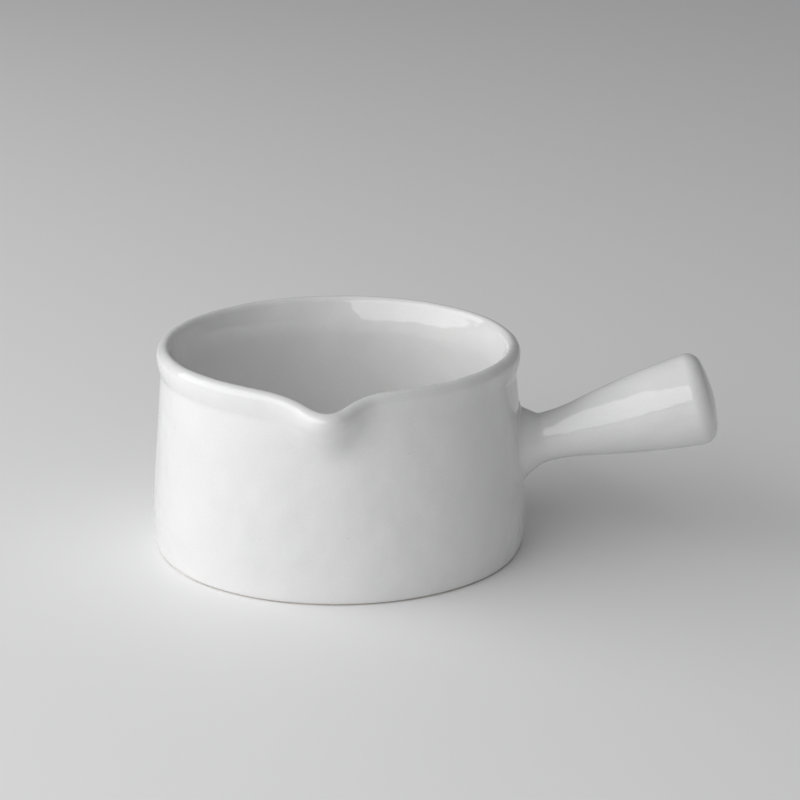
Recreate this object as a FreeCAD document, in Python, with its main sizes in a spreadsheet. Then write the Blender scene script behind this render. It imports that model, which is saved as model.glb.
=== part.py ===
import FreeCAD, Part
import Sketcher

import math
import os

# A small glazed porcelain pan: a bowl with a rolled rim and a pulled pouring spout, a hollow
# flared handle luted to its wall with slip, and a coat of glaze over all but the foot ring.
# Row frame: origin at the centre of the foot ring's plane, +Z up, the handle along +X and the
# spout along -Y. All lengths are millimetres and all angles degrees.

doc = FreeCAD.newDocument("spouted_pan")

# ---------------------------------------------------------------- driving dimensions
SIZES = [
    ("bowl_height", 63.5, "foot plane to the crest of the rim"),
    ("bead_radius", 55.0, "bowl axis to the outside of the rolled rim"),
    ("bead_drop", 3.0, "crest of the rim to its widest line"),
    ("crest_radius", 52.4, "bowl axis to the crest of the rim"),
    ("lip_radius", 50.5, "bowl axis to the inner edge of the rim's crest"),
    ("crest_turn", 160.0, "angle round the crest at which the flare inside the rim begins"),
    ("neck_radius", 53.95, "bowl axis to the groove under the rim"),
    ("neck_drop", 8.2, "crest of the rim to the groove"),
    ("belly_radius", 57.05, "bowl axis to the widest line of the wall"),
    ("belly_height", 13.5, "foot plane to the widest line"),
    ("wall_thickness", 5.2, "glazed wall"),
    ("flare_drop", 11.0, "crest of the rim to where the inner wall starts to flare"),
    ("floor_height", 5.2, "foot plane to the glazed floor"),
    ("inner_corner", 11.0, "radius between inner wall and floor"),
    ("foot_radius", 55.4, "bowl axis to the lower edge of the outer glaze"),
    ("foot_height", 0.4, "bare height of the foot ring"),
    ("foot_inner_radius", 50.3, "bowl axis to the inside of the foot ring"),
    ("recess_depth", 1.5, "foot plane to the clay inside the foot ring"),
    ("base_glaze_radius", 49.5, "bowl axis to the edge of the glaze under the base"),
    ("glaze_thickness", 0.35, "fired glaze"),
    ("spout_reach", 11.5, "how far the spout is pulled out at the rim"),
    ("spout_half_width", 5.28, "half width of the spout's bell shape at the rim"),
    ("spout_taper", 0.35, "share of that width lost at the foot of the spout"),
    ("spout_lean", 0.145, "share by which the spout's -X flank is wider than its +X flank"),
    ("spout_drop", 22.0, "crest of the rim to the foot of the spout's ridge"),
    ("spout_dip", 2.58, "how far the rim dips at the spout's tip"),
    ("lip_swell", 0.35, "share by which the rim's bead is fuller at the spout's tip"),
    ("groove_fade", 15.0, "distance from the spout over which the groove under the bead fills"),
    ("handle_tilt", 15.6, "rise of the handle above the horizontal"),
    ("handle_start_radius", 55.0, "bowl axis to the start of the handle's own axis"),
    ("handle_start_height", 31.7, "foot plane to the start of the handle's own axis"),
    ("handle_length", 60.4, "start of the handle's axis to the crown of its end"),
    ("handle_root_run", 5.0, "how far the handle's blank runs on behind its start"),
    ("handle_neck_radius", 7.2, "glazed handle, at its waist"),
    ("handle_neck_place", 8.6, "start of the axis to the waist"),
    ("handle_root_arc", 25.0, "hollow curve from the waist to the wall"),
    ("handle_side_arc", 50.0, "hollow curve from the waist towards the end"),
    ("handle_crown_arc", 270.0, "full curve of the handle's side near its end"),
    ("handle_crown_place", 79.0, "start of the axis to the centre of that curve"),
    ("handle_edge_arc", 4.6, "radius between the handle's side and its end"),
    ("handle_dome_arc", 40.0, "radius of the handle's domed end"),
    ("hollow_mouth_radius", 3.6, "hollow of the handle, at its start"),
    ("hollow_end_radius", 8.2, "hollow of the handle, at its far end"),
    ("hollow_length", 46.0, "start of the axis to the far end of the hollow's cone"),
    ("vent_radius", 1.3, "vent hole under the handle"),
    ("vent_place", 16.0, "start of the axis to the vent hole"),
    ("vent_drill_length", 18.0, "reach of the vent's drill from the axis"),
    ("slip_layer", 0.8, "slip squeezed between handle and wall"),
    ("collar_radius", 11.8, "handle axis to the edge of the slip collar on the wall"),
    ("collar_depth", 2.6, "how far the collar's blank is sunk in the wall"),
    ("collar_height", 9.5, "off the wall to the end of the collar's blank"),
    ("root_cut_radius", 53.6, "bowl axis to the middle of the wall behind the handle"),
]
sheet = doc.addObject("Spreadsheet::Sheet", "dimensions")
for row, (alias, value, note) in enumerate(SIZES, start=1):
    sheet.set(f"A{row}", note)
    sheet.set(f"B{row}", str(value))
    sheet.setAlias(f"B{row}", alias)
doc.recompute()


def size(alias):
    """One cell of the sheet, as a number."""
    return float(sheet.get(alias))


# ---------------------------------------------------------------- the bowl's section
def wall_line(z):
    """Radius of the straight outer wall at height z."""
    neck_z = size("bowl_height") - size("neck_drop")
    share = (z - size("belly_height")) / (neck_z - size("belly_height"))
    return size("belly_radius") + share * (size("neck_radius") - size("belly_radius"))


def inner_line(z):
    """Radius of the straight inner wall at height z."""
    return wall_line(z) - size("wall_thickness")


def bead_line(z):
    """Radius of the underside of the rim's bead at height z, between its neck and its widest
    line."""
    bead_z = size("bowl_height") - size("bead_drop")
    neck_z = size("bowl_height") - size("neck_drop")
    rise = math.radians(90 * (z - neck_z) / (bead_z - neck_z))
    return size("neck_radius") + (size("bead_radius") - size("neck_radius")) * math.sin(rise)


def ease(share):
    """A slow start and a slow stop between 0 and 1."""
    return 0.5 - 0.5 * math.cos(math.pi * min(max(share, 0.0), 1.0))


def ellipse_run(centre, half_r, half_z, start, end, count):
    """Points on an upright ellipse in the (radius, height) plane, between two angles."""
    points = []
    for i in range(count):
        a = math.radians(start + (end - start) * i / (count - 1))
        points.append((centre[0] + half_r * math.cos(a), centre[1] + half_z * math.sin(a)))
    return points


def line_run(radius_at, start, end, count):
    """Points on a wall line between two heights, without the first."""
    heights = [start + (end - start) * i / count for i in range(1, count + 1)]
    return [(radius_at(z), z) for z in heights]


def glazed_section():
    """The glazed outline from the lower edge of the outer glaze, over the rim, to the floor."""
    top = size("bowl_height")
    bead_z = top - size("bead_drop")
    neck_z = top - size("neck_drop")
    flare_z = top - size("flare_drop")
    corner_z = size("floor_height") + size("inner_corner")
    floor_r = inner_line(corner_z) - size("inner_corner")

    corner = ellipse_run(
        (size("foot_radius"), size("belly_height")),
        size("belly_radius") - size("foot_radius"),
        size("belly_height") - size("foot_height"),
        -90, 0, 12,
    )
    outer_crest = ellipse_run(
        (size("crest_radius"), bead_z),
        size("bead_radius") - size("crest_radius"), size("bead_drop"), 0, 90, 7,
    )
    inner_crest = ellipse_run(
        (size("crest_radius"), bead_z),
        size("crest_radius") - size("lip_radius"), size("bead_drop"), 90, size("crest_turn"), 7,
    )
    edge_r, edge_z = inner_crest[-1]

    def flare_line(z):
        share = math.sin(math.pi / 2 * (z - edge_z) / (flare_z - edge_z))
        return edge_r + (inner_line(flare_z) - edge_r) * share

    inner_corner = ellipse_run(
        (floor_r, corner_z), size("inner_corner"), size("inner_corner"), 0, -90, 9,
    )
    wall = line_run(wall_line, size("belly_height"), neck_z, 8)
    bead = line_run(bead_line, neck_z, bead_z, 6)
    flare = line_run(flare_line, edge_z, flare_z, 6)
    inner_wall = line_run(inner_line, flare_z, corner_z, 7)
    return (corner + wall + bead + outer_crest[1:] + inner_crest[1:] + flare + inner_wall
            + inner_corner[1:])


def inset(points, depth):
    """The same outline moved into the wall by depth, or out of it if depth is negative."""
    moved = []
    for i, (r, z) in enumerate(points):
        before, after = points[max(i - 1, 0)], points[min(i + 1, len(points) - 1)]
        dr, dz = after[0] - before[0], after[1] - before[1]
        length = math.hypot(dr, dz)
        moved.append((r - depth * dz / length, z + depth * dr / length))
    return moved


def clay_section(growth=0.0):
    """The clay's outline: the bare side of the foot ring, then the glazed outline less the
    glaze. A growth moves the whole outline out of the wall."""
    depth = size("glaze_thickness") - growth
    side_r = size("foot_radius") - depth
    heights = (0.0, 0.4 * size("foot_height"), size("foot_height"))
    return [(side_r, z) for z in heights] + inset(glazed_section(), depth)


# ---------------------------------------------------------------- the pulled spout
MIDDLE_STEP = 0.01


def spout_bell(x, half_width):
    """The spout's bell shape across, 1 on its ridge; the -X flank is the wider one."""
    lean = 1 - size("spout_lean") * x / math.hypot(x, half_width)
    return 1 / math.cosh(x / (half_width * lean))


def middle_point(z, azimuth):
    """The middle of the wall at a height and an azimuth, and how far it is pulled along -Y."""
    a = math.radians(azimuth)
    middle = wall_line(z) - size("wall_thickness") / 2
    x, y = middle * math.cos(a), middle * math.sin(a)
    low = size("bowl_height") - size("spout_drop")
    share = (z - low) / size("spout_drop")
    if share <= 0 or y > 0:
        return x, y, 0.0
    half_width = size("spout_half_width") * (1 - size("spout_taper") * max(1 - share, 0.0))
    pull = size("spout_reach") * ease(share) * spout_bell(x, half_width)
    return x, y - pull, pull


def groove_depth(z):
    """How far the outer wall at height z lies behind a wall that rises evenly to the bead."""
    bead_z = size("bowl_height") - size("bead_drop")
    neck_z = size("bowl_height") - size("neck_drop")
    low = size("bowl_height") - size("spout_drop")
    if not low < z < bead_z:
        return 0.0
    even = (size("bead_radius") - wall_line(bead_z)) * ease((z - low) / (bead_z - low))
    own = bead_line(z) - wall_line(z) if z > neck_z else 0.0
    return even - own


def pulled(r, z, azimuth):
    """The point of the section (r, z) at an azimuth, after the spout is pulled out of the
    wall. The section stays square to the wall's middle line. Near the spout the groove under
    the bead fills up; on the spout the bead is fuller, and the rim dips a little."""
    x, y, pull = middle_point(z, azimuth)
    ahead = middle_point(z, azimuth + MIDDLE_STEP)
    dx, dy = ahead[0] - x, ahead[1] - y
    length = math.hypot(dx, dy)
    share = pull / size("spout_reach")
    out = r - wall_line(z) + size("wall_thickness") / 2
    out += max(r - wall_line(z), 0.0) * share * size("lip_swell")
    if out > 0 and y < 0:
        out += groove_depth(z) * math.exp(-(x / size("groove_fade")) ** 2 / 2)
    return FreeCAD.Vector(
        x + out * dy / length, y - out * dx / length, z - size("spout_dip") * share
    )


# ---------------------------------------------------------------- surfaces
COLUMNS = 96
CROWDING = 0.7


def azimuths():
    """Azimuths round the bowl, crowded at the spout, each with the angle to its neighbours."""
    for i in range(COLUMNS):
        turn = 2 * math.pi * i / COLUMNS
        angle = -90 + math.degrees(turn - CROWDING * math.sin(turn))
        yield angle, 360 / COLUMNS * (1 - CROWDING * math.cos(turn))


def closed_skin(poles):
    """A smooth surface through columns of poles, closed on itself round the columns."""
    columns, rows = len(poles), len(poles[0])
    surface = Part.BSplineSurface()
    surface.buildFromPolesMultsKnots(
        poles,
        [1] * (columns + 1), [4] + [1] * (rows - 4) + [4],
        [float(i) for i in range(columns + 1)], [float(i) for i in range(rows - 2)],
        True, False, 3, 3,
    )
    return surface


def capped_solid(poles):
    """The closed skin with a flat disc over each of its two flat ends."""
    skin = closed_skin(poles)
    low, high = skin.bounds()[2], skin.bounds()[3]
    discs = [Part.Face(Part.Wire(skin.vIso(v).toShape())) for v in (low, high)]
    shell = Part.Shell([skin.toShape()] + discs)
    shell.sewShape()
    solid = Part.Solid(shell)
    if solid.Volume < 0:
        solid.reverse()
    return solid


def swell(step):
    """A cubic through poles turned evenly by a step lies inside them; this makes up for it."""
    return 3 / (2 + math.cos(math.radians(step)))


def walled_solid(section):
    """A section carried round the bowl, solid down to its foot."""
    poles = []
    for azimuth, step in azimuths():
        points = [pulled(r, z, azimuth) for r, z in section]
        poles.append([
            FreeCAD.Vector(p.x * swell(step), p.y * swell(step), p.z) for p in points
        ])
    return capped_solid(poles)


# ---------------------------------------------------------------- the slip collar
COLLAR_COLUMNS = 24
COLLAR_ROWS = 14
FLARE_SHARE, FILLET_SHARE, FILLET_REACH, SINK_SHARE = 0.85, 0.15, 0.03, 0.08


def collar_spread(off):
    """How far the collar stands off the handle's waist, as a share of its foot's width, at a
    share of its height off the wall: a wide flare, a small fillet on the wall, and at the far
    end a sink below the handle's surface."""
    return (
        FLARE_SHARE * (1 - off) ** 2 + FILLET_SHARE * math.exp(-off / FILLET_REACH)
        - SINK_SHARE * off**3
    )


def collar_section(skin):
    """The collar's outline as (radius, distance off the wall), less a skin all round."""
    waist, edge = size("handle_neck_radius"), size("collar_radius")
    height = size("collar_height")
    shares = [(i / (COLLAR_ROWS - 1)) ** 2 for i in range(COLLAR_ROWS)]
    curve = [(waist + (edge - waist) * collar_spread(a), height * a) for a in shares]
    sunk = [(edge, -size("collar_depth")), (edge, -0.6 * size("collar_depth"))]
    return sunk + inset(curve, skin)


def wall_share(off):
    """How closely a ring of the collar follows the curved wall: its sunk end and its far end
    are flat."""
    if off < -size("collar_depth") / 2:
        return 0.0
    return min(max(1 - off / (0.9 * size("collar_height")), 0.0), 1.0)


def collar_solid(skin):
    """The collar: rings on the handle's axis that lie in the wall at its foot and flatten
    out along the handle."""
    start = FreeCAD.Vector(size("handle_start_radius"), 0, size("handle_start_height"))
    tilt = math.radians(size("handle_tilt"))
    axis = FreeCAD.Vector(math.cos(tilt), 0, math.sin(tilt))
    slope = wall_line(1) - wall_line(0)
    run = (wall_line(start.z) - start.x) / (axis.x - slope * axis.z)
    foot = start + axis * run
    outward = FreeCAD.Vector(1, 0, -slope).normalize()
    upward = FreeCAD.Vector(-outward.z, 0, outward.x)
    poles = []
    for column in range(COLLAR_COLUMNS):
        a = 2 * math.pi * column / COLLAR_COLUMNS
        across, along_wall = math.sin(a), math.cos(a)
        row = []
        for radius, off in collar_section(skin):
            r = radius * swell(360 / COLLAR_COLUMNS)
            centre = foot + axis * (off / axis.dot(outward))
            sag = math.sqrt(foot.x**2 - (r * across) ** 2) - foot.x
            sag *= wall_share(off)
            row.append(
                centre + upward * (r * along_wall) + FreeCAD.Vector(0, r * across, 0)
                + outward * sag
            )
        poles.append(row)
    return capped_solid(poles)


# ---------------------------------------------------------------- document helpers
def feature(name, shape):
    """A document object holding a shape made with Part's own functions."""
    made = doc.addObject("Part::Feature", name)
    made.Shape = shape
    return made


def bind(made, **bound):
    """Bind properties of an object to expressions on the sheet's cells."""
    for name, expression in bound.items():
        made.setExpression(name.replace("__", "."), expression)


def on_handle_axis(made):
    """Stand an object made along its own X on the handle's tilted axis."""
    made.Placement.Rotation = FreeCAD.Rotation(FreeCAD.Vector(0, -1, 0), 1)
    bind(
        made,
        Placement__Base__x="dimensions.handle_start_radius",
        Placement__Base__z="dimensions.handle_start_height",
        Placement__Rotation__Angle="dimensions.handle_tilt",
    )


def cut(name, base, *tools):
    """The base less each of the tools, one Part::Cut after the other."""
    made = base
    for count, tool in enumerate(tools, start=1):
        step = doc.addObject("Part::Cut", name if count == len(tools) else f"{name}_cut_{count}")
        step.Base = made
        step.Tool = tool
        made = step
    return made


# ---------------------------------------------------------------- the handle
def axis_body(name):
    """A body on the handle's axis, with an empty sketch in the upright plane through it."""
    body = doc.addObject("PartDesign::Body", name)
    on_handle_axis(body)
    sketch = body.newObject("Sketcher::SketchObject", f"{name}_profile")
    plane = next(f for f in body.Origin.OriginFeatures if f.Role == "XZ_Plane")
    sketch.AttachmentSupport = [(plane, "")]
    sketch.MapMode = "FlatFace"
    return body, sketch


def turn(body, sketch):
    """Turn the sketch's profile round the handle's axis."""
    made = body.newObject("PartDesign::Revolution", f"{body.Name}_turned")
    made.Profile = sketch
    made.ReferenceAxis = (sketch, ["H_Axis"])
    made.Angle = 360
    return body


START, END, CENTRE = 1, 2, 3
AXIS = -1
ORIGIN_POINT = 1


def arc_between(centre, radius, start, end):
    """A sketch arc about a centre, turning anticlockwise between two angles in degrees."""
    circle = Part.Circle(FreeCAD.Vector(*centre, 0), FreeCAD.Vector(0, 0, 1), radius)
    return Part.ArcOfCircle(circle, math.radians(start), math.radians(end))


def handle_blank(name, skin):
    """The handle without its hollow, less a skin taken off all round."""
    body, sketch = axis_body(name)
    vector = FreeCAD.Vector
    waist = size("handle_neck_place")
    waist_r = size("handle_neck_radius")
    side, crown = size("handle_side_arc"), size("handle_crown_arc")
    root, edge, dome = size("handle_root_arc"), size("handle_edge_arc"), size("handle_dome_arc")
    start, end = -size("handle_root_run"), size("handle_length")
    crown_x = size("handle_crown_place")
    side_y = waist_r + side
    crown_y = side_y - math.sqrt((side + crown) ** 2 - (crown_x - waist) ** 2)
    # where the hollow side curve runs into the full one
    share = side / (side + crown)
    joint_x = waist + (crown_x - waist) * share
    joint_y = side_y + (crown_y - side_y) * share
    joint_angle = math.degrees(math.atan2(joint_y - side_y, joint_x - waist))
    edge_x = end - edge - 1.2
    edge_y = crown_y + math.sqrt((crown - edge) ** 2 - (edge_x - crown_x) ** 2)
    edge_top = math.degrees(math.atan2(edge_y - crown_y, edge_x - crown_x))
    dome_turn = math.degrees(math.atan2(edge_y, edge_x - end + dome))
    root_turn = math.degrees(math.asin((waist - start) / root))
    root_y = waist_r + root
    shoulder = root_y - root * math.cos(math.radians(root_turn))

    base, dome_arc, edge_arc, crown_arc, side_arc, root_arc, back = [
        sketch.addGeometry(part, False) for part in (
            Part.LineSegment(vector(start, 0, 0), vector(end, 0, 0)),
            arc_between((end - dome, 0), dome, 0, dome_turn),
            arc_between((edge_x, edge_y), edge, dome_turn, edge_top),
            arc_between((crown_x, crown_y), crown, edge_top, joint_angle + 180),
            arc_between((waist, side_y), side, 270, joint_angle + 360),
            arc_between((waist, root_y), root, 270 - root_turn, 270),
            Part.LineSegment(vector(start, shoulder, 0), vector(start, 0, 0)),
        )
    ]
    rules = [
        ("PointOnObject", base, START, AXIS),
        ("Coincident", base, END, dome_arc, START),
        ("PointOnObject", base, END, AXIS),
        ("PointOnObject", dome_arc, CENTRE, AXIS),
        ("Tangent", dome_arc, END, edge_arc, START),
        ("Tangent", edge_arc, END, crown_arc, START),
        ("Tangent", crown_arc, END, side_arc, END),
        ("Tangent", side_arc, START, root_arc, END),
        ("Coincident", root_arc, START, back, START),
        ("Coincident", back, END, base, START),
        ("Vertical", back),
        ("Vertical", side_arc, START, side_arc, CENTRE),
    ]
    sketch.addConstraint([Sketcher.Constraint(*rule) for rule in rules])
    placed = [
        ("DistanceX", (base, START, AXIS, ORIGIN_POINT), -start, "handle_root_run"),
        ("DistanceX", (AXIS, ORIGIN_POINT, base, END), end, f"handle_length - {skin}"),
        ("DistanceX", (AXIS, ORIGIN_POINT, side_arc, START), waist, "handle_neck_place"),
        ("DistanceY", (AXIS, ORIGIN_POINT, side_arc, START), waist_r, f"handle_neck_radius - {skin}"),
        ("DistanceX", (AXIS, ORIGIN_POINT, crown_arc, CENTRE), crown_x, "handle_crown_place"),
        ("Radius", (dome_arc,), dome, f"handle_dome_arc - {skin}"),
        ("Radius", (edge_arc,), edge, f"handle_edge_arc - {skin}"),
        ("Radius", (crown_arc,), crown, f"handle_crown_arc - {skin}"),
        ("Radius", (side_arc,), side, f"handle_side_arc + {skin}"),
        ("Radius", (root_arc,), root, f"handle_root_arc + {skin}"),
    ]
    for kind, where, value, expression in placed:
        index = sketch.addConstraint(Sketcher.Constraint(kind, *where, value))
        sketch.setExpression(f"Constraints[{index}]", "dimensions." + expression)
    return turn(body, sketch)


def handle_hollow():
    """The cone of air inside the handle, rounded at its far end."""
    body, sketch = axis_body("handle_hollow")
    vector = FreeCAD.Vector
    start, end = -size("handle_root_run"), size("hollow_length")
    mouth_r, end_r = size("hollow_mouth_radius"), size("hollow_end_radius")
    base, cap, side, back = [
        sketch.addGeometry(part, False) for part in (
            Part.LineSegment(vector(start, 0, 0), vector(end + end_r, 0, 0)),
            arc_between((end, 0), end_r, 0, 90),
            Part.LineSegment(vector(end, end_r, 0), vector(start, mouth_r, 0)),
            Part.LineSegment(vector(start, mouth_r, 0), vector(start, 0, 0)),
        )
    ]
    rules = [
        ("PointOnObject", base, START, AXIS),
        ("PointOnObject", base, END, AXIS),
        ("Coincident", base, END, cap, START),
        ("PointOnObject", cap, CENTRE, AXIS),
        ("Coincident", cap, END, side, START),
        ("Vertical", cap, END, cap, CENTRE),
        ("Coincident", side, END, back, START),
        ("Vertical", back),
        ("Coincident", back, END, base, START),
    ]
    sketch.addConstraint([Sketcher.Constraint(*rule) for rule in rules])
    placed = [
        ("DistanceX", (base, START, AXIS, ORIGIN_POINT), -start, "handle_root_run"),
        ("DistanceX", (AXIS, ORIGIN_POINT, cap, CENTRE), end, "hollow_length"),
        ("Radius", (cap,), end_r, "hollow_end_radius"),
        ("DistanceY", (back, END, back, START), mouth_r, "hollow_mouth_radius"),
    ]
    for kind, where, value, expression in placed:
        index = sketch.addConstraint(Sketcher.Constraint(kind, *where, value))
        sketch.setExpression(f"Constraints[{index}]", "dimensions." + expression)
    return turn(body, sketch)


def vent_hole():
    """The drill for the vent: a pin across the handle's lower side."""
    pin = doc.addObject("Part::Cylinder", "vent")
    along = "dimensions.vent_place"
    tilt = "dimensions.handle_tilt"
    pin.Placement.Rotation = FreeCAD.Rotation(FreeCAD.Vector(0, -1, 0), 1)
    bind(
        pin,
        Radius="dimensions.vent_radius",
        Height="dimensions.vent_drill_length",
        Placement__Base__x=f"dimensions.handle_start_radius + {along} * cos({tilt} * 1deg)",
        Placement__Base__z=f"dimensions.handle_start_height + {along} * sin({tilt} * 1deg)",
        Placement__Rotation__Angle=f"{tilt} + 180",
    )
    return pin


def trimmed(name, blank):
    """A handle blank cut off in the middle of the wall behind it."""
    core = doc.addObject("Part::Cylinder", f"{name}_core")
    bind(core, Radius="dimensions.root_cut_radius", Height="dimensions.bowl_height")
    return cut(name, blank, core)


# ---------------------------------------------------------------- the five pieces
def joined(name, *pieces):
    """Several objects made one, as a Part::MultiFuse."""
    made = doc.addObject("Part::MultiFuse", name)
    made.Shapes = list(pieces)
    return made


def disc(name, radius, base, height):
    """An upright cylinder on the bowl's axis, its sizes given as expressions."""
    made = doc.addObject("Part::Cylinder", name)
    bind(made, Radius=radius, Placement__Base__z=base, Height=height)
    return made


clay_bowl = feature("clay_bowl", walled_solid(clay_section()))
grown_bowl = feature("grown_bowl", walled_solid(clay_section(size("slip_layer"))))
glazed_bowl = feature("glazed_bowl", walled_solid(glazed_section()))
clay_collar = feature("clay_collar", collar_solid(size("glaze_thickness")))
glazed_collar = feature("glazed_collar", collar_solid(0.0))

clay_blank = trimmed("clay_blank", handle_blank("clay_handle", "dimensions.glaze_thickness"))
glazed_blank = trimmed("glazed_blank", handle_blank("glazed_handle", "0"))
hollow = handle_hollow()
vent = vent_hole()

recess = disc("recess", "dimensions.foot_inner_radius", "0", "dimensions.recess_depth")
bowl = cut("bowl", clay_bowl, recess)
plug = cut("plug", clay_blank, grown_bowl)
handle = cut("handle", plug, hollow, vent)
luting_slip = cut("luting_slip", clay_collar, clay_bowl, plug, hollow)
clay_pan = joined("clay_pan", clay_bowl, clay_blank, clay_collar)
glazed_pan = joined("glazed_pan", glazed_bowl, glazed_blank, glazed_collar)
glaze_coat = cut("glaze_coat", glazed_pan, clay_pan, vent)
base_glaze = disc(
    "base_glaze", "dimensions.base_glaze_radius",
    "dimensions.recess_depth - dimensions.glaze_thickness", "dimensions.glaze_thickness",
)
doc.recompute()

# ---------------------------------------------------------------- checks and files
for made in doc.Objects:
    broken = [state for state in made.State if state in ("Invalid", "Error")]
    if broken:
        raise SystemExit(f"{made.Label} did not compute: {broken}")

os.makedirs("parts", exist_ok=True)
for node in (bowl, handle, luting_slip, glaze_coat, base_glaze):
    shape = node.Shape
    if shape.isNull() or not shape.isValid() or len(shape.Solids) != 1:
        raise SystemExit(f"{node.Label} is not one valid solid")
    shape.exportStep(f"parts/{node.Label}.step")
    print(f"{node.Label}: {shape.Volume:.0f} mm3")
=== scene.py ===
import math

import bpy
import numpy as np
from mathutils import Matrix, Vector


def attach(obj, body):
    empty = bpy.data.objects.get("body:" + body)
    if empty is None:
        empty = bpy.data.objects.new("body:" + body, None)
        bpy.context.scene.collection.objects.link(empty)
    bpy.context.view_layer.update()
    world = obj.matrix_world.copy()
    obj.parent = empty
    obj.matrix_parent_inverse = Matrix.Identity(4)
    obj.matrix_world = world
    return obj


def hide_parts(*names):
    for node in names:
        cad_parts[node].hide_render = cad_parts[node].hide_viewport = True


# A small white glazed pan. Its glaze, the clay of its bowl and the glazed disc under its base
# are built here as fine meshes, from the same driving dimensions as the design. The clay of
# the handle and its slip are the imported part's own. Lengths are millimetres until a mesh is
# made.

MM = 0.001
MICROMETRE = 0.001  # in millimetres
TINY = 1e-9

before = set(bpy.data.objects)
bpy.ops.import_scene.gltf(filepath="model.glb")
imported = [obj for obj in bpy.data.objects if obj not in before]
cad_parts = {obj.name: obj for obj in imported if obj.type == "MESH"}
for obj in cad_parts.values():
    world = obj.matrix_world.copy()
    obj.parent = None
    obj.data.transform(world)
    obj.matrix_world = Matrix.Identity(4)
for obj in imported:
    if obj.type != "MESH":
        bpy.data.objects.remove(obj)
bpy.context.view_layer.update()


# ---------------------------------------------------------------- driving dimensions
class Pan:
    """Sizes of the pan, as in the design."""
    height = 63.5
    bead_radius, bead_drop = 55.0, 3.0
    crest_radius, lip_radius, crest_turn = 52.4, 50.5, 160.0
    neck_radius, neck_drop = 53.95, 8.2
    belly_radius, belly_height = 57.05, 13.5
    wall = 5.2
    flare_drop = 11.0
    floor_height, inner_corner = 5.2, 11.0
    foot_radius, foot_height, foot_inner_radius = 55.4, 0.4, 50.3
    recess_depth = 1.5
    base_glaze_radius = 49.5
    glaze = 0.35
    spout_reach, spout_drop, spout_dip = 11.5, 22.0, 2.58
    spout_half_width, spout_taper, spout_lean = 5.28, 0.35, 0.145
    lip_swell, groove_fade = 0.35, 15.0


class Handle:
    """Sizes of the handle, as in the design."""
    tilt = math.radians(15.6)
    start = (55.0, 31.7)
    length = 60.4
    neck_radius, neck_place = 7.2, 8.6
    root_arc, side_arc = 25.0, 50.0
    crown_arc, crown_place = 270.0, 79.0
    edge_arc, dome_arc = 4.6, 40.0
    vent_place, vent_radius = 16.0, 1.3
    collar_radius, collar_height = 11.8, 9.5
    # the collar's spread: a flare, a small fillet at the wall, and a slight sink at its end
    flare_share, fillet_share, fillet_reach, sink_share = 0.85, 0.15, 0.03, 0.08


class Rows:
    """How many points lie along each stretch of the outlines of the bowl and its base."""
    foot, wall, rim, flare, inner, corner = 22, 32, 14, 16, 22, 16
    floor = 9
    arris = 6
    base, base_edge, base_back = 24, 7, 8
    recess = 12


# the heights at which the bowl's section changes
BEAD_Z = Pan.height - Pan.bead_drop
NECK_Z = Pan.height - Pan.neck_drop
FLARE_Z = Pan.height - Pan.flare_drop
SPOUT_Z = Pan.height - Pan.spout_drop
CORNER_Z = Pan.floor_height + Pan.inner_corner


# ---------------------------------------------------------------- the bowl's section
def wall_line(z):
    """Radius of the straight outer wall at height z."""
    share = (z - Pan.belly_height) / (NECK_Z - Pan.belly_height)
    return Pan.belly_radius + share * (Pan.neck_radius - Pan.belly_radius)


def inner_line(z):
    """Radius of the straight inner wall at height z."""
    return wall_line(z) - Pan.wall


def bead_line(z):
    """Radius of the outside at height z, from the neck up to the widest place of the bead."""
    rise = np.pi / 2 * np.clip((z - NECK_Z) / (BEAD_Z - NECK_Z), 0, 1)
    return Pan.neck_radius + (Pan.bead_radius - Pan.neck_radius) * np.sin(rise)


def unit(*parts):
    """The direction of a vector, as a vector of length 1."""
    made = np.array(parts, dtype=float)
    return made / np.linalg.norm(made)


def arc(centre, half_r, half_z, start, end, count):
    """Points on an upright ellipse in the (radius, height) plane, between two angles."""
    a = np.radians(np.linspace(start, end, count))
    return np.column_stack((centre[0] + half_r * np.cos(a), centre[1] + half_z * np.sin(a)))


def run(radius_at, start, end, count):
    """Points on a wall line between two heights, without the first."""
    z = np.linspace(start, end, count + 1)[1:]
    return np.column_stack((radius_at(z), z))


def glazed_section():
    """The glazed outline from the lower edge of the outer glaze, over the rim, to the floor."""
    floor_r = inner_line(CORNER_Z) - Pan.inner_corner
    crest = (Pan.crest_radius, BEAD_Z)
    inner_crest = arc(crest, Pan.crest_radius - Pan.lip_radius, Pan.bead_drop,
                      90, Pan.crest_turn, Rows.rim)[1:]
    edge_r, edge_z = inner_crest[-1]

    def flare_line(z):
        share = np.sin(np.pi / 2 * (z - edge_z) / (FLARE_Z - edge_z))
        return edge_r + (inner_line(FLARE_Z) - edge_r) * share

    return np.vstack((
        arc((Pan.foot_radius, Pan.belly_height), Pan.belly_radius - Pan.foot_radius,
            Pan.belly_height - Pan.foot_height, -90, 0, Rows.foot),
        run(wall_line, Pan.belly_height, NECK_Z, Rows.wall),
        run(bead_line, NECK_Z, BEAD_Z, Rows.rim),
        arc(crest, Pan.bead_radius - Pan.crest_radius, Pan.bead_drop, 0, 90, Rows.rim)[1:],
        inner_crest,
        run(flare_line, edge_z, FLARE_Z, Rows.flare),
        run(inner_line, FLARE_Z, CORNER_Z, Rows.inner),
        arc((floor_r, CORNER_Z), Pan.inner_corner, Pan.inner_corner, 0, -90, Rows.corner)[1:],
    ))


def inset(points, depth):
    """The same outline moved into the wall by depth."""
    along = np.gradient(points, axis=0)
    along /= np.linalg.norm(along, axis=1)[:, None]
    return points + depth * np.column_stack((-along[:, 1], along[:, 0]))


# ---------------------------------------------------------------- the pulled spout
# the turn in radians over which the wall's direction is taken
SMALL_TURN = 1e-4


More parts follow.
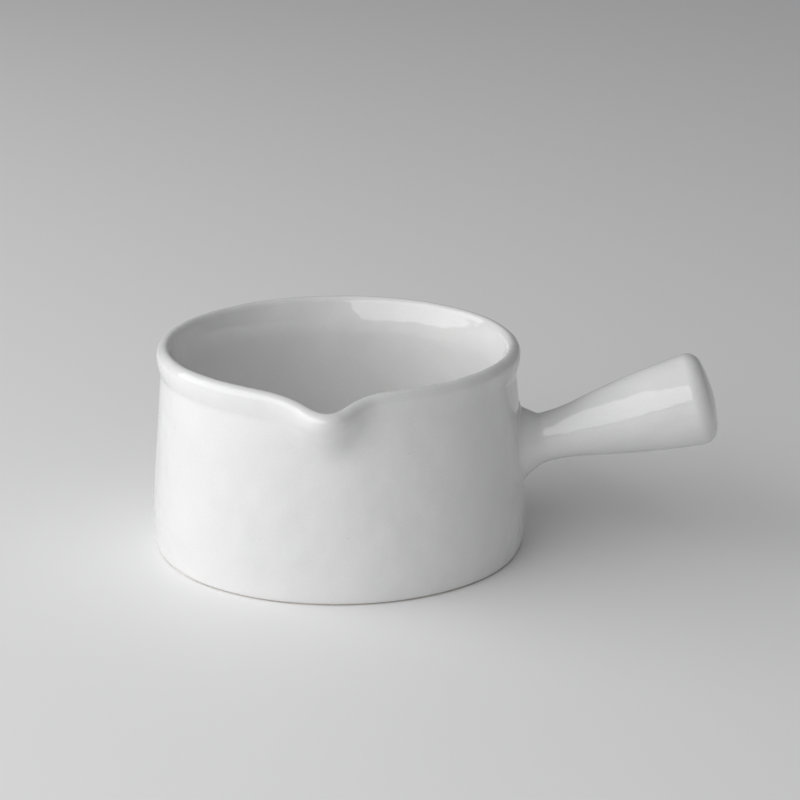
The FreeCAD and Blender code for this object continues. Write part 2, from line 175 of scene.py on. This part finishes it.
def ease(share):
    """A slow start and a slow stop between 0 and 1."""
    return 0.5 - 0.5 * np.cos(np.pi * np.clip(share, 0, 1))


def middle_point(z, azimuth):
    """The middle of the wall at a height and an azimuth, and how far it is pulled along -Y."""
    middle = wall_line(z) - Pan.wall / 2
    x, y = middle * np.cos(azimuth), middle * np.sin(azimuth)
    share = (z - SPOUT_Z) / Pan.spout_drop
    half_width = Pan.spout_half_width * (1 - Pan.spout_taper * (1 - np.clip(share, 0, 1)))
    lean = 1 - Pan.spout_lean * x / np.hypot(x, half_width)
    pull = Pan.spout_reach * ease(share) / np.cosh(x / (half_width * lean))
    pull = np.where(y < 0, pull, 0)
    return x, y - pull, pull


def groove_depth(z):
    """How far the outer wall at height z lies behind a wall that rises evenly to the bead."""
    at_bead = Pan.bead_radius - wall_line(BEAD_Z)
    even = at_bead * ease((z - SPOUT_Z) / (BEAD_Z - SPOUT_Z))
    own = bead_line(z) - wall_line(z)
    return np.where(z < NECK_Z, even, np.where(z < BEAD_Z, even - own, 0))


def pulled(r, z, azimuth):
    """The section's points (r, z) at each azimuth, after the spout is pulled out of the
    wall. The section stays square to the wall's middle line. Near the spout the groove under
    the bead fills up; on the spout the bead swells, and the rim dips a little at its tip."""
    x, y, pull = middle_point(z, azimuth)
    ahead_x, ahead_y, _ = middle_point(z, azimuth + SMALL_TURN)
    dx, dy = ahead_x - x, ahead_y - y
    length = np.hypot(dx, dy)
    share = pull / Pan.spout_reach
    bead = np.maximum(r - wall_line(z), 0)
    near = np.where(y < 0, np.exp(-(x / Pan.groove_fade) ** 2 / 2), 0)
    outer = r > wall_line(z) - Pan.wall / 2
    out = r + bead * share * Pan.lip_swell + np.where(outer, groove_depth(z) * near, 0)
    out = out - wall_line(z) + Pan.wall / 2
    return np.stack((x + out * dy / length, y - out * dx / length, z - Pan.spout_dip * share), -1)


def azimuths(columns, crowding=0.6):
    """Azimuths round the bowl in radians, crowded at the spout."""
    turn = 2 * np.pi * np.arange(columns) / columns
    return -np.pi / 2 + turn - crowding * np.sin(turn)


# ---------------------------------------------------------------- mesh helpers
def grid_faces(rows, columns):
    """Quads between rings of points, each ring closed on itself."""
    row, column = np.meshgrid(np.arange(rows - 1), np.arange(columns), indexing="ij")
    ahead = (column + 1) % columns
    corners = (row * columns + column, row * columns + ahead,
               (row + 1) * columns + ahead, (row + 1) * columns + column)
    return np.stack(corners, -1).reshape(-1, 4)


def fan_faces(ring, centre, flip=False):
    """Triangles from a closed ring of point numbers to a centre point."""
    ahead = np.roll(ring, -1)
    pairs = zip(ahead, ring) if flip else zip(ring, ahead)
    return [(a, b, centre) for a, b in pairs]


def make_object(name, points, faces):
    """A smooth-shaded mesh object from points in millimetres."""
    mesh = bpy.data.meshes.new(name)
    mesh.from_pydata((np.asarray(points) * MM).tolist(), [], [tuple(map(int, f)) for f in faces])
    mesh.validate()
    mesh.shade_smooth()
    made = bpy.data.objects.new(name, mesh)
    bpy.context.scene.collection.objects.link(made)
    return made


def rings_object(name, rings, close_first=False, close_last=False):
    """An object skinned over rings (rows, columns, 3), with an optional fan at either end."""
    rows, columns = rings.shape[:2]
    points = list(rings.reshape(-1, 3))
    faces = list(grid_faces(rows, columns))
    if close_last:
        points.append(rings[-1].mean(axis=0))
        faces += fan_faces(np.arange((rows - 1) * columns, rows * columns), len(points) - 1)
    if close_first:
        points.append(rings[0].mean(axis=0))
        faces += fan_faces(np.arange(columns), len(points) - 1, flip=True)
    return make_object(name, points, faces)


def flat(start, end, count, z):
    """Points at height z, evenly from one radius to another."""
    return np.column_stack((np.linspace(start, end, count), np.full(count, z)))


def floor_rings(section):
    """The section carried on over the flat floor, almost to the axis."""
    edge_r, floor_z = section[-1]
    radii = edge_r * (1 - np.arange(1, Rows.floor) / Rows.floor)
    return np.vstack((section, np.column_stack((radii, np.full(Rows.floor - 1, floor_z)))))


# ---------------------------------------------------------------- hand-made unevenness
WAVES = (
    # direction and length in millimetres of a slow swell, and its height in micrometres
    ((0.8, 0.3, 0.5), 31.0, 40),
    ((-0.4, 0.9, 0.3), 23.0, 32),
    ((0.2, -0.5, 0.9), 17.0, 28),
    ((0.7, 0.6, -0.6), 12.5, 16),
    ((-0.9, 0.2, 0.7), 9.0, 9),
)


def swell(points):
    """How far the hand-dipped surface stands out at each point, in millimetres. A wave's
    height also sets where it starts, so that the waves are out of step."""
    out = np.zeros(points.shape[:-1])
    for direction, length, height in WAVES:
        phase = points @ (unit(*direction) * 2 * np.pi / length)
        out += height * MICROMETRE * np.sin(phase + height)
    return out


def uneven(rings):
    """The rings of a skin with the slow swell of a dipped glaze, along their normals."""
    across = np.roll(rings, -1, axis=1) - np.roll(rings, 1, axis=1)
    normal = np.cross(across, np.gradient(rings, axis=0))
    size = np.linalg.norm(normal, axis=-1, keepdims=True)
    return rings + swell(rings)[..., None] * normal / np.maximum(size, TINY)


# ---------------------------------------------------------------- glaze on the bowl
BOWL_COLUMNS = 300


def bowl_skin():
    """The glaze over the outside, the rim and the inside of the bowl."""
    section = floor_rings(glazed_section())
    r, z = section[:, :1], section[:, 1:]
    rings = uneven(pulled(r, z, azimuths(BOWL_COLUMNS)[None, :]))
    return rings_object("glaze_on_bowl", rings, close_last=True)


# ---------------------------------------------------------------- glaze on the handle
SIDE_POINTS, EDGE_POINTS, DOME_POINTS = 200, 18, 14


def outline_arc(middle, radius, start, end, count):
    """Points on a circle in the (distance along the axis, radius) plane."""
    a = np.linspace(start, end, count)
    return np.column_stack((middle[0] + radius * np.cos(a), middle[1] + radius * np.sin(a)))


def handle_outline():
    """The glazed handle's outline as (distance along its axis, radius), from the waist to the
    crown: a hollow curve, a long full one, the rounded edge and the dome."""
    side_y = Handle.neck_radius + Handle.side_arc
    both = Handle.side_arc + Handle.crown_arc
    crown_run = Handle.crown_place - Handle.neck_place
    crown = np.array((Handle.crown_place, side_y - math.sqrt(both**2 - crown_run**2)))
    joint = math.asin(crown_run / both)
    # the rounded edge touches both the crown's arc and the dome from inside
    dome = np.array((Handle.length - Handle.dome_arc, 0.0))
    near, far = Handle.dome_arc - Handle.edge_arc, Handle.crown_arc - Handle.edge_arc
    apart = dome - crown
    gap = np.linalg.norm(apart)
    toward = apart / gap
    along = (far**2 - near**2 + gap**2) / (2 * gap)
    across = math.sqrt(far**2 - along**2)
    edge = crown + toward * along + np.array((toward[1], -toward[0])) * across
    crown_end = math.atan2(edge[1] - crown[1], edge[0] - crown[0])
    dome_end = math.atan2(edge[1], edge[0] - dome[0])
    quarter = math.pi / 2
    return np.vstack((
        outline_arc((Handle.neck_place, side_y), Handle.side_arc, -quarter, joint - quarter,
                    SIDE_POINTS // 2),
        outline_arc(crown, Handle.crown_arc, quarter + joint, crown_end,
                    SIDE_POINTS // 2 + 1)[1:],
        outline_arc(edge, Handle.edge_arc, crown_end, dome_end, EDGE_POINTS)[1:],
        outline_arc(dome, Handle.dome_arc, dome_end, 0.0, DOME_POINTS)[1:-1],
    ))


def handle_radius(place, outline):
    """Radius of the handle at a distance along its axis, short of its rounded edge."""
    behind = Handle.neck_place - place
    root = Handle.neck_radius + Handle.root_arc
    root = root - np.sqrt(Handle.root_arc**2 - np.maximum(behind, 0) ** 2)
    return np.where(behind > 0, root, np.interp(place, outline[:, 0], outline[:, 1]))


# the handle's axis, where it meets the wall, and the wall's own directions there
AXIS = unit(math.cos(Handle.tilt), 0, math.sin(Handle.tilt))
AXIS_UP = unit(-AXIS[2], 0, AXIS[0])
ACROSS = np.array((0.0, 1.0, 0.0))
START = np.array((Handle.start[0], 0.0, Handle.start[1]))
WALL_SLOPE = wall_line(1.0) - wall_line(0.0)
ROOT_RUN = (wall_line(START[2]) - START[0]) / (AXIS[0] - WALL_SLOPE * AXIS[2])
ROOT = START + AXIS * ROOT_RUN
OUTWARD = unit(1, 0, -WALL_SLOPE)
UPWARD = unit(-OUTWARD[2], 0, OUTWARD[0])


def around(centre, radius, up, angle):
    """Points of rings of a radius about centres, in the planes of an up direction and Y."""
    turned = np.cos(angle)[..., None] * up + np.sin(angle)[..., None] * ACROSS
    return centre + radius[..., None] * turned


# the share of the collar's height over which its rings come out of the wall's curve
FLATTEN_SHARE = 0.9


def collar_ring(off, angle):
    """Rings of the slip collar: they lie in the curved wall at its foot and flatten out along
    the handle."""
    a = off / Handle.collar_height
    spread = (Handle.flare_share * (1 - a) ** 2
              + Handle.fillet_share * np.exp(-a / Handle.fillet_reach)
              - Handle.sink_share * a**3)
    radius = Handle.neck_radius + (Handle.collar_radius - Handle.neck_radius) * spread
    radius = radius + 0 * angle
    centre = ROOT + (off / AXIS.dot(OUTWARD))[..., None] * AXIS
    sag = np.sqrt(ROOT[0] ** 2 - (radius * np.sin(angle)) ** 2) - ROOT[0]
    share = np.clip(1 - off / (FLATTEN_SHARE * Handle.collar_height), 0, 1)
    return around(centre, radius, UPWARD, angle) + (sag * share)[..., None] * OUTWARD


def handle_ring(place, radius, angle):
    """Rings square to the handle's axis."""
    return around(START + place[..., None] * AXIS, radius + 0 * angle, AXIS_UP, angle)


HANDLE_COLUMNS = 96
# cells of the grid in the vent's radius, and how many vent radii the fine rows and the
# rounding of the grid run on past it
VENT_CELLS, VENT_ROWS, VENT_BLEND = 3, 4, 1.7
# where the collar starts to give way to the handle, and the rows' spacing on the grip, in mm
COLLAR_BLEND, GRIP_STEP = 2.2, 0.8
# heights of the collar's rings as shares of its own, from just inside the wall
COLLAR_RINGS = np.concatenate((
    [-0.03, 0.0], np.geomspace(0.006, 0.12, 14), np.linspace(0.14, 1.0, 26),
))[:, None]
SMALL_REACH = 1e-6


def smooth(share):
    """A cubic with a slow start and a slow stop between 0 and 1."""
    share = np.clip(share, 0, 1)
    return share * share * (3 - 2 * share)


def round_vent(place, angle, vent_r, cell):
    """Moves a grid of points on the handle so that a square of cells becomes a round hole.
    Gives the new distances and angles, and how far each point is from the vent's middle."""
    hole = VENT_CELLS * cell
    d_place = place - Handle.vent_place + 0 * angle
    d_round = vent_r * (angle - np.pi) + 0 * place
    square = np.maximum(abs(d_place), abs(d_round))
    reach = np.maximum(np.hypot(d_place, d_round), SMALL_REACH)
    fade = smooth((square / hole - 1) / VENT_BLEND)
    pull = fade + (1 - fade) * square / reach
    return Handle.vent_place + d_place * pull, np.pi + d_round * pull / vent_r, square


def handle_skin():
    """The glaze on the collar and the handle, with a round hole at the vent."""
    outline = handle_outline()
    angle = 2 * np.pi * np.arange(HANDLE_COLUMNS)[None, :] / HANDLE_COLUMNS
    vent_r = handle_radius(np.array(Handle.vent_place), outline)
    cell = Handle.vent_radius / VENT_CELLS

    # the collar, from just inside the wall to where the handle has taken over
    off = Handle.collar_height * COLLAR_RINGS
    place = ROOT_RUN + off / AXIS.dot(OUTWARD)
    share = smooth((off - COLLAR_BLEND) / (Handle.collar_height - COLLAR_BLEND))[..., None]
    root = (1 - share) * collar_ring(off, angle)
    root += share * handle_ring(place, handle_radius(place, outline), angle)

    # the grip as far as its rounded edge, with a fine row at each cell of the vent's grid
    # from the first whole cell past the collar
    edge = outline[SIDE_POINTS - 1:]
    first = -math.floor((Handle.vent_place - place[-1, 0]) / cell) + 1
    near = Handle.vent_place + cell * np.arange(first, VENT_ROWS * VENT_CELLS)
    far = np.arange(near[-1] + GRIP_STEP, edge[0, 0] - GRIP_STEP / 2, GRIP_STEP)
    grip = np.concatenate((near, far))[:, None]
    warped_place, warped_angle, square = round_vent(grip, angle, vent_r, cell)
    middle = handle_ring(warped_place, handle_radius(warped_place, outline), warped_angle)

    rings = uneven(np.concatenate((root, middle, handle_ring(edge[:, :1], edge[:, 1:], angle))))
    rows = len(rings)
    points = list(rings.reshape(-1, 3)) + [START + AXIS * Handle.length]
    # a face is left out where one of its corners is nearer the vent's middle than its edge
    open_point = np.zeros((rows, HANDLE_COLUMNS), dtype=bool)
    open_point[len(root):len(root) + len(grip)] = square < (VENT_CELLS - 0.5) * cell
    open_point = open_point.ravel()
    keep = [face for face in grid_faces(rows, HANDLE_COLUMNS) if not open_point[face].any()]
    last = np.arange((rows - 1) * HANDLE_COLUMNS, rows * HANDLE_COLUMNS)
    return make_object("glaze_on_handle", points, keep + fan_faces(last, len(points) - 1))


# ---------------------------------------------------------------- clay
CLAY_COLUMNS, BASE_COLUMNS = 220, 160
# radius of the first ring round the axis, under the clay and on the glazed disc
CLAY_MIDDLE, BASE_MIDDLE = 4, 3
ARRIS, RECESS_CORNER = 0.25, 0.6


def clay_outline():
    """The clay's closed outline: the glazed recess inside the foot ring, the bare ring with
    its arrises taken off, and then the glazed outline less the glaze."""
    inner, outer = Pan.foot_inner_radius, Pan.foot_radius - Pan.glaze
    corner_r, corner_z = inner - RECESS_CORNER, Pan.recess_depth - RECESS_CORNER
    under = np.vstack((
        flat(CLAY_MIDDLE, corner_r, Rows.recess, Pan.recess_depth),
        arc((corner_r, corner_z), RECESS_CORNER, RECESS_CORNER, 90, 0, Rows.arris)[1:],
        arc((inner + ARRIS, ARRIS), ARRIS, ARRIS, 180, 270, Rows.arris),
        arc((outer - ARRIS, ARRIS), ARRIS, ARRIS, -90, 0, Rows.arris),
        [(outer, Pan.foot_height)],
    ))
    return np.vstack((under, inset(floor_rings(glazed_section()), Pan.glaze)[1:]))


def clay_body():
    """The clay of the bowl, pulled into the same spout as the glaze."""
    section = clay_outline()
    r, z = section[:, :1], section[:, 1:]
    rings = pulled(r, z, azimuths(CLAY_COLUMNS)[None, :])
    return rings_object("bowl_clay", rings, close_first=True, close_last=True)


def base_disc():
    """The glaze inside the foot ring, with a rounded free edge."""
    top, thick = Pan.recess_depth, Pan.glaze
    edge_r = Pan.base_glaze_radius
    section = np.vstack((
        flat(BASE_MIDDLE, edge_r - 2 * thick, Rows.base, top - thick),
        arc((edge_r - thick, top), thick, thick, -90, 0, Rows.base_edge)[1:],
        flat(edge_r - thick, BASE_MIDDLE, Rows.base_back, top),
    ))
    angle = np.linspace(0, 2 * np.pi, BASE_COLUMNS, endpoint=False)[None, :]
    r, z = section[:, :1], section[:, 1:]
    rings = np.stack((r * np.cos(angle), r * np.sin(angle), z + 0 * angle), -1)
    return rings_object("glaze_under_base", rings, close_first=True, close_last=True)


# ---------------------------------------------------------------- materials
class Nodes:
    """A node material built up by name."""

    def __init__(self, name):
        self.material = bpy.data.materials.new(name)
        self.material.use_nodes = True
        self.tree = self.material.node_tree
        self.shader = self.tree.nodes["Principled BSDF"]

    def add(self, kind, **settings):
        """A new node, with its properties and its inputs' values set by name."""
        node = self.tree.nodes.new("ShaderNode" + kind)
        for name, value in settings.items():
            if hasattr(node, name):
                setattr(node, name, value)
            else:
                node.inputs[name.replace("_", " ")].default_value = value
        return node

    def link(self, output, target):
        """Joins an output to an input."""
        self.tree.links.new(output, target)


def noise(nodes, place, size_mm, detail, roughness=0.5):
    """A noise whose features are about size_mm wide; gives its value output."""
    made = nodes.add("TexNoise", Scale=1 / (size_mm * MM), Detail=detail, Roughness=roughness)
    nodes.link(place, made.inputs["Vector"])
    return made.outputs["Fac"]


def ramp(nodes, value, *stops):
    """A colour ramp between two (position, grey or colour) stops."""
    made = nodes.add("ValToRGB")
    nodes.link(value, made.inputs["Fac"])
    for element, (position, colour) in zip(made.color_ramp.elements, stops):
        element.position = position
        element.color = (*colour, 1) if isinstance(colour, tuple) else (colour,) * 3 + (1,)
    return made.outputs["Color"]


def times(nodes, first, second):
    """The product of two colours."""
    made = nodes.add("Mix", data_type="RGBA", blend_type="MULTIPLY")
    made.inputs["Factor"].default_value = 1.0
    nodes.link(first, made.inputs["A"])
    nodes.link(second, made.inputs["B"])
    return made.outputs["Result"]


# of a spots map: the share of cells with no spot, a width that shows nothing, and where a
# spot's soft edge starts and ends, as shares of its width
BARE_CELLS, NO_WIDTH, SPOT_EDGE = 0.72, 0.001, (0.6, 1.1)


def spots(nodes, place, apart_mm, widest):
    """A map that is 0 inside small round spots scattered about apart_mm apart, else 1. Only
    some of the cells hold a spot, and their sizes differ up to widest, a share of a cell."""
    cells = nodes.add("TexVoronoi", Scale=1 / (apart_mm * MM))
    nodes.link(place, cells.inputs["Vector"])
    split = nodes.add("SeparateColor")
    nodes.link(cells.outputs["Color"], split.inputs["Color"])
    width = nodes.add("MapRange", From_Min=BARE_CELLS, To_Min=NO_WIDTH, To_Max=widest)
    nodes.link(split.outputs["Red"], width.inputs["Value"])
    share = nodes.add("Math", operation="DIVIDE")
    nodes.link(cells.outputs["Distance"], share.inputs[0])
    nodes.link(width.outputs["Result"], share.inputs[1])
    inside = nodes.add("MapRange", interpolation_type="SMOOTHSTEP",
                       From_Min=SPOT_EDGE[0], From_Max=SPOT_EDGE[1])
    nodes.link(share.outputs["Value"], inside.inputs["Value"])
    return inside.outputs["Result"]


def bump(nodes, height, depth_mm, strength=0.5, below=None):
    """A bump of a height map, over another bump's normal where one is given."""
    made = nodes.add("Bump", Strength=strength, Distance=depth_mm * MM)
    nodes.link(height, made.inputs["Height"])
    if below is not None:
        nodes.link(below, made.inputs["Normal"])
    return made.outputs["Normal"]


def glaze_material():
    """A clear-topped white glaze: faint clouds in its white, a few dark specks of iron, tiny
    pinholes with painted shade darkening them, and the slight orange peel and slow waver of a
    dipped and fired coat."""
    made = Nodes("white_glaze")
    place = made.add("TexCoord").outputs["Object"]

    clouds = noise(made, place, size_mm=16, detail=3)
    clouds = ramp(made, clouds, (0.3, (0.815, 0.817, 0.813)), (0.7, (0.845, 0.845, 0.84)))
    mottle = noise(made, place, size_mm=0.5, detail=3, roughness=0.6)
    mottle = ramp(made, mottle, (0.3, 0.955), (0.7, 1.0))
    iron = spots(made, place, apart_mm=5.8, widest=0.042)
    iron = ramp(made, iron, (0.0, (0.6, 0.57, 0.53)), (1.0, 1.0))
    pinholes = spots(made, place, apart_mm=2.4, widest=0.07)
    # painted shade: the pinholes are drawn darker in colour, for the shade inside the pits
    pinhole_shade = ramp(made, pinholes, (0.0, 0.82), (1.0, 1.0))
    colour = times(made, times(made, clouds, mottle), times(made, iron, pinhole_shade))
    made.link(colour, made.shader.inputs["Base Color"])

    polish = made.add("MapRange", To_Min=0.02, To_Max=0.07)
    made.link(noise(made, place, size_mm=7, detail=3), polish.inputs["Value"])
    made.link(polish.outputs["Result"], made.shader.inputs["Roughness"])

    waver = bump(made, noise(made, place, size_mm=11, detail=1.5), depth_mm=1.1)
    peel = bump(made, noise(made, place, size_mm=1.6, detail=2), depth_mm=0.012, below=waver)
    pitted = bump(made, pinholes, depth_mm=0.05, below=peel)
    made.link(pitted, made.shader.inputs["Normal"])
    made.shader.inputs["IOR"].default_value = 1.56
    return made.material


def clay_material():
    """Bare fired clay: matt, a little warm, with a fine sandy grain and a few darker grains."""
    made = Nodes("bare_clay")
    made.shader.inputs["Roughness"].default_value = 0.85
    place = made.add("TexCoord").outputs["Object"]

    body = noise(made, place, size_mm=9, detail=3)
    body = ramp(made, body, (0.3, (0.68, 0.63, 0.55)), (0.7, (0.76, 0.72, 0.65)))
    grain = noise(made, place, size_mm=0.35, detail=4, roughness=0.7)
    sand = ramp(made, grain, (0.3, 0.86), (0.6, 1.0))
    grog = spots(made, place, apart_mm=1.3, widest=0.1)
    grog = ramp(made, grog, (0.0, (0.5, 0.43, 0.36)), (1.0, 1.0))
    made.link(times(made, times(made, body, sand), grog), made.shader.inputs["Base Color"])
    made.link(bump(made, grain, depth_mm=0.05, strength=0.6), made.shader.inputs["Normal"])
    return made.material


# ---------------------------------------------------------------- the pieces
def finish_piece(piece, material, slot, *nodes):
    """Gives a piece its material and its body, and hides the nodes it replaces. The slot is not
    used.
    """
    piece.data.materials.append(material)
    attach(piece, "root")
    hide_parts(*nodes)


# how much of the glaze's thickness its skin has, so that it stays clear of the clay
SKIN_SHARE = 0.8


def thicken(piece):
    """Gives a glaze skin its thickness, inwards."""
    solid = piece.modifiers.new("thickness", "SOLIDIFY")
    solid.thickness = SKIN_SHARE * Pan.glaze * MM
    solid.offset = -1


glaze = glaze_material()
clay = clay_material()
bowl_glaze = bowl_skin()
handle_glaze = handle_skin()
for skin in (bowl_glaze, handle_glaze):
    thicken(skin)
    finish_piece(skin, glaze, "glaze", "glaze_coat")
finish_piece(base_disc(), glaze, "glaze_under_base", "base_glaze")
finish_piece(clay_body(), clay, "bowl_clay", "bowl")
for node in ("handle", "luting_slip"):
    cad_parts[node].data.materials.clear()
    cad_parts[node].data.materials.append(clay)


# ---------------------------------------------------------------- floor, lights, camera
# the middle of the pan, for the light; lengths are metres from here on
CENTRE = Vector((0.0, 0.0, 0.04))


def aim(thing, target):
    """Turn a light or camera, which look along their own -Z, towards a point."""
    thing.rotation_euler = (target - thing.location).to_track_quat("-Z", "Y").to_euler()


def polar(azimuth, elevation, distance, centre):
    """A point at a distance from a centre; azimuth 0 is in front, positive to the left."""
    a, e = math.radians(azimuth), math.radians(elevation)
    return centre + Vector((
        -math.sin(a) * math.cos(e), -math.cos(a) * math.cos(e), math.sin(e),
    )) * distance


def softbox(name, azimuth, elevation, distance, width, height, power):
    """A large even light that faces the pan."""
    data = bpy.data.lights.new(name, "AREA")
    data.shape = "RECTANGLE"
    data.size, data.size_y = width, height
    data.energy = power
    made = bpy.data.objects.new(name, data)
    made.location = polar(azimuth, elevation, distance, CENTRE)
    aim(made, CENTRE)
    bpy.context.scene.collection.objects.link(made)


def floor():
    """A plain pale floor under the foot ring."""
    bpy.ops.mesh.primitive_plane_add(size=8.0, location=(0, 0, 0))
    made = bpy.context.active_object
    made.name = "floor"
    nodes = Nodes("floor_white")
    nodes.shader.inputs["Base Color"].default_value = (0.97, 0.97, 0.97, 1)
    nodes.shader.inputs["Roughness"].default_value = 0.6
    made.data.materials.append(nodes.material)


def camera():
    """A long lens in front of the pan and a little above it."""
    data = bpy.data.cameras.new("camera")
    data.sensor_width = 36.0
    data.lens = 122.1
    data.clip_start, data.clip_end = 0.05, 20.0
    made = bpy.data.objects.new("camera", data)
    target = Vector((18.5, 0.5, 45.0)) * MM
    made.location = polar(azimuth=-1.7, elevation=17.45, distance=0.825, centre=target)
    aim(made, target)
    bpy.context.scene.collection.objects.link(made)
    bpy.context.scene.camera = made


def studio():
    """An even grey world, which fills the shadows."""
    world = bpy.data.worlds.new("studio")
    world.use_nodes = True
    background = world.node_tree.nodes["Background"]
    background.inputs["Color"].default_value = (0.22, 0.22, 0.225, 1)
    background.inputs["Strength"].default_value = 1.0
    bpy.context.scene.world = world


floor()
camera()
softbox("key", azimuth=63, elevation=30.5, distance=1.0, width=2.5, height=0.95, power=14.6)
studio()
bpy.context.scene.view_settings.view_transform = "Standard"
